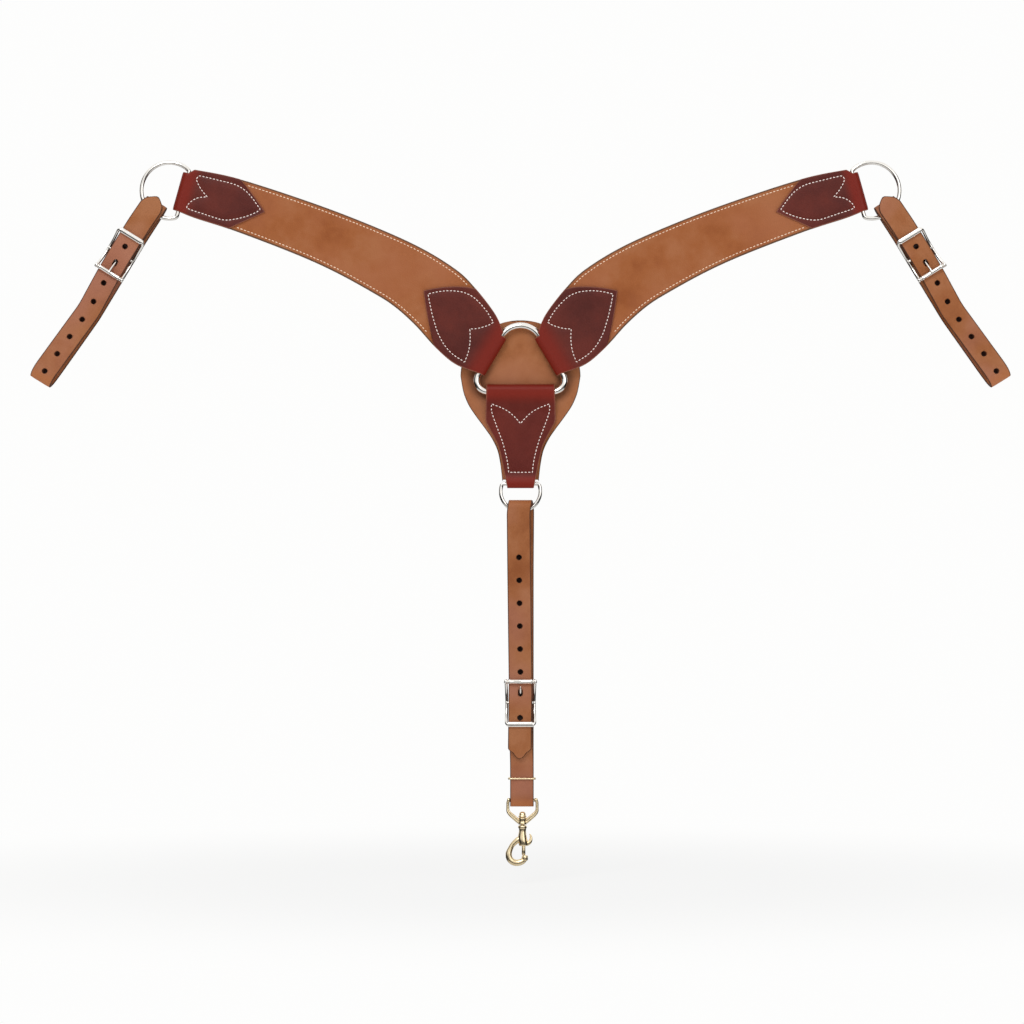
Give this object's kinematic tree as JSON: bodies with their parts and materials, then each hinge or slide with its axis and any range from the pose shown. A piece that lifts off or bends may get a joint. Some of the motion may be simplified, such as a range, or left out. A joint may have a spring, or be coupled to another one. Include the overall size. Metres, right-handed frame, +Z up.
{
  "type": "breast collar",
  "caption": "Western breast collar: lined leather arms on a three-sided ring with chest pad, looped buckle tugs, tie-down strap and swivel snap.",
  "frame": {"origin": "on the back face of the chest pad, straight behind the middle of the centre ring", "axes": "+X to the viewer's right across the collar, +Y back towards the horse's chest, +Z up, with the collar laid out flat in its own XZ plane"},
  "size_m": [1.0586, 0.0295, 0.7618],
  "materials": {
    "harness_leather": "russet harness leather, fine grain, matt waxed",
    "lining_leather": "russet lining leather, flesh side out, matt",
    "pad_leather": "russet harness leather, fine grain, matt waxed",
    "strap_leather": "russet harness leather, burnished edges",
    "oxblood_latigo": "oxblood latigo, waxed, soft sheen on the folds",
    "edge_thread": "waxed cream thread",
    "chape_thread": "waxed white thread",
    "nickel": "bright nickel plate",
    "brass": "polished brass",
    "spring_steel": "drawn spring wire"
  },
  "bodies": {
    "chest": {"chest_pad": "pad_leather", "chest_tab": "oxblood_latigo", "chest_tab_seam": "chape_thread"},
    "ring": {"centre_ring": "nickel"},
    "left_arm": {"left_arm_front": "harness_leather", "left_arm_lining": "lining_leather", "left_arm_upper_seam": "edge_thread", "left_arm_lower_seam": "edge_thread", "left_ring_chape": "oxblood_latigo", "left_ring_chape_seam": "chape_thread", "left_dee_chape": "oxblood_latigo", "left_dee_chape_seam": "chape_thread"},
    "left_dee": {"left_dee": "nickel"},
    "left_tug": {"left_tug_strap": "strap_leather", "left_tug_fold_seam": "edge_thread", "left_buckle_frame": "nickel"},
    "left_tongue": {"left_buckle_tongue": "nickel"},
    "left_roller": {"left_buckle_roller": "nickel"},
    "right_arm": {"right_arm_front": "harness_leather", "right_arm_lining": "lining_leather", "right_arm_upper_seam": "edge_thread", "right_arm_lower_seam": "edge_thread", "right_ring_chape": "oxblood_latigo", "right_ring_chape_seam": "chape_thread", "right_dee_chape": "oxblood_latigo", "right_dee_chape_seam": "chape_thread"},
    "right_dee": {"right_dee": "nickel"},
    "right_tug": {"right_tug_strap": "strap_leather", "right_tug_fold_seam": "edge_thread", "right_buckle_frame": "nickel"},
    "right_tongue": {"right_buckle_tongue": "nickel"},
    "right_roller": {"right_buckle_roller": "nickel"},
    "lower_dee": {"lower_dee": "nickel"},
    "tie_down": {"tie_down_strap": "strap_leather", "tie_down_fold_seam": "edge_thread", "tie_down_buckle_frame": "nickel"},
    "tie_down_tongue": {"tie_down_buckle_tongue": "nickel"},
    "tie_down_roller": {"tie_down_buckle_roller": "nickel"},
    "keeper": {"strap_keeper": "brass"},
    "snap_eye": {"snap_eye": "brass"},
    "snap_hook": {"snap_hook": "brass", "snap_spring": "spring_steel"},
    "snap_bolt": {"snap_bolt": "brass"}
  },
  "joints": [
    {"name": "ring_lift", "type": "hinge", "parent": "chest", "child": "ring", "pos_m": [0, -0.0099, -0.0345], "axis": [1, 0, 0], "range_deg": [0, 60]},
    {"name": "left_arm_swing", "type": "hinge", "parent": "ring", "child": "left_arm", "pos_m": [-0.0203, -0.0099, 0.02605], "axis": [0.5132, 0, 0.8583], "range_deg": [-10, 40]},
    {"name": "left_dee_swing", "type": "hinge", "parent": "left_arm", "child": "left_dee", "pos_m": [-0.36456, -0.0099, 0.17873], "axis": [-0.2695, 0, -0.963], "range_deg": [-70, 70]},
    {"name": "left_tug_swing", "type": "hinge", "parent": "left_dee", "child": "left_tug", "pos_m": [-0.3791, -0.0099, 0.1828], "axis": [0, 1, 0], "range_deg": [-5, 70]},
    {"name": "left_tongue_lift", "type": "hinge", "parent": "left_tug", "child": "left_tongue", "pos_m": [-0.43147, -0.01185, 0.11336], "axis": [-0.8508, 0, 0.5255], "range_deg": [0, 12]},
    {"name": "left_roller_spin", "type": "hinge", "parent": "left_tug", "child": "left_roller", "pos_m": [-0.44356, -0.01895, 0.09379], "axis": [0.8508, 0, -0.5255], "continuous": true},
    {"name": "right_arm_swing", "type": "hinge", "parent": "ring", "child": "right_arm", "pos_m": [0.0203, -0.0099, 0.02605], "axis": [0.5132, 0, -0.8583], "range_deg": [-10, 40]},
    {"name": "right_dee_swing", "type": "hinge", "parent": "right_arm", "child": "right_dee", "pos_m": [0.36456, -0.0099, 0.17873], "axis": [-0.2695, 0, 0.963], "range_deg": [-70, 70]},
    {"name": "right_tug_swing", "type": "hinge", "parent": "right_dee", "child": "right_tug", "pos_m": [0.3791, -0.0099, 0.1828], "axis": [0, -1, 0], "range_deg": [-5, 70]},
    {"name": "right_tongue_lift", "type": "hinge", "parent": "right_tug", "child": "right_tongue", "pos_m": [0.43147, -0.01185, 0.11336], "axis": [-0.8508, 0, -0.5255], "range_deg": [0, 12]},
    {"name": "right_roller_spin", "type": "hinge", "parent": "right_tug", "child": "right_roller", "pos_m": [0.44356, -0.01895, 0.09379], "axis": [0.8508, 0, 0.5255], "continuous": true},
    {"name": "lower_dee_swing", "type": "hinge", "parent": "chest", "child": "lower_dee", "pos_m": [0, -0.0099, -0.134], "axis": [1, 0, 0], "range_deg": [-60, 60]},
    {"name": "tie_down_swing", "type": "hinge", "parent": "lower_dee", "child": "tie_down", "pos_m": [0, -0.0099, -0.142], "axis": [0, 1, 0], "range_deg": [-20, 20]},
    {"name": "tie_down_tongue_lift", "type": "hinge", "parent": "tie_down", "child": "tie_down_tongue", "pos_m": [0, -0.01185, -0.3703], "axis": [1, 0, 0], "range_deg": [0, 12]},
    {"name": "tie_down_roller_spin", "type": "hinge", "parent": "tie_down", "child": "tie_down_roller", "pos_m": [0, -0.01895, -0.3473], "axis": [1, 0, 0], "continuous": true},
    {"name": "keeper_slide", "type": "slide", "parent": "tie_down", "child": "keeper", "axis": [0, 0, 1], "range_m": [-0.008, 0.014]},
    {"name": "snap_eye_tilt", "type": "hinge", "parent": "tie_down", "child": "snap_eye", "pos_m": [0.0021, -0.0099, -0.4755], "axis": [1, 0, 0], "range_deg": [-60, 60]},
    {"name": "snap_swivel", "type": "hinge", "parent": "snap_eye", "child": "snap_hook", "pos_m": [0.0021, -0.0099, -0.4983], "axis": [0, 0, 1], "continuous": true},
    {"name": "snap_bolt_slide", "type": "slide", "parent": "snap_hook", "child": "snap_bolt", "axis": [0, 0, 1], "range_m": [0, 0.007], "stiffness_N_per_m": 400, "springref_m": -0.003, "deforming": ["snap_spring"]}
  ]
}
